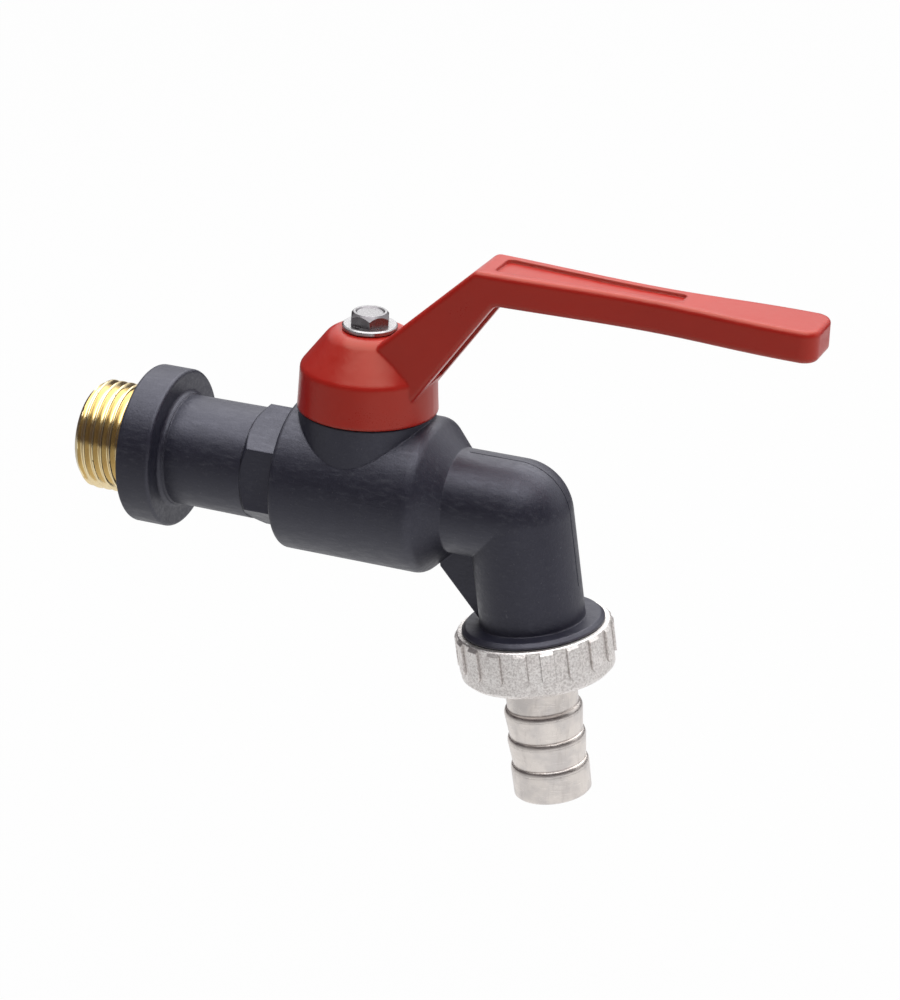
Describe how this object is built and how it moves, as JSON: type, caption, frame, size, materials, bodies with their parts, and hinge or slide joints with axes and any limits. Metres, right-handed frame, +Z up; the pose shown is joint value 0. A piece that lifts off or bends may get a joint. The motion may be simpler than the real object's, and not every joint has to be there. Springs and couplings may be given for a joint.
{
  "type": "plastic ball valve hose tap",
  "caption": "Quarter-turn plastic hose tap: threaded brass inlet with wall flange, ball valve barrel, cranked red lever, elbow spout, and a ribbed union nut holding a barbed hose tail.",
  "frame": {"origin": "on the pipe axis, at the wall face of the inlet flange, where the inlet thread starts", "axes": "+X along the pipe from inlet to outlet, +Z up along the valve stem, +Y to the left of the flow"},
  "size_m": [0.141, 0.0302, 0.1028],
  "materials": {
    "black_plastic": "moulded, charcoal black with a satin sheen",
    "red_plastic": "moulded, satin red",
    "brass": "machined, bright",
    "nickel_cast": "cast, nickel plated, grainy",
    "nickel_turned": "turned, nickel plated, satin",
    "zinc_steel": "zinc plated",
    "seat_plastic": "smooth low-friction plastic",
    "rubber": "moulded rubber"
  },
  "bodies": {
    "valve": {"inlet_nipple": "brass", "inlet_tailpiece": "black_plastic", "tailpiece_o_ring": "rubber", "valve_body": "black_plastic", "inlet_seat": "seat_plastic", "inlet_seat_cushion": "rubber", "outlet_seat": "seat_plastic", "outlet_seat_cushion": "rubber"},
    "lever": {"handle": "red_plastic", "handle_washer": "zinc_steel", "handle_screw": "zinc_steel", "stem": "brass", "stem_thrust_washer": "seat_plastic", "stem_o_ring_lower": "rubber", "stem_o_ring_upper": "rubber", "ball": "seat_plastic"},
    "hose_union": {"hose_tail": "nickel_turned", "hose_gasket": "rubber"},
    "union_nut": {"union_nut": "nickel_cast"}
  },
  "joints": [
    {"name": "lever_turn", "type": "hinge", "parent": "valve", "child": "lever", "pos_m": [0.0446, 0, 0], "axis": [0, 0, 1], "range_deg": [-90, 0]},
    {"name": "union_slide", "type": "slide", "parent": "valve", "child": "hose_union", "axis": [0.165, 0, -0.9863], "range_m": [0, 0.0052]},
    {"name": "union_nut_turn", "type": "hinge", "parent": "hose_union", "child": "union_nut", "pos_m": [0.0753, 0, 0], "axis": [0.165, 0, -0.9863], "range_deg": [0, 1030]}
  ],
  "couplings": [
    {"joint": "union_slide", "follows": "union_nut_turn", "m_per_rad": 0.00028871}
  ]
}
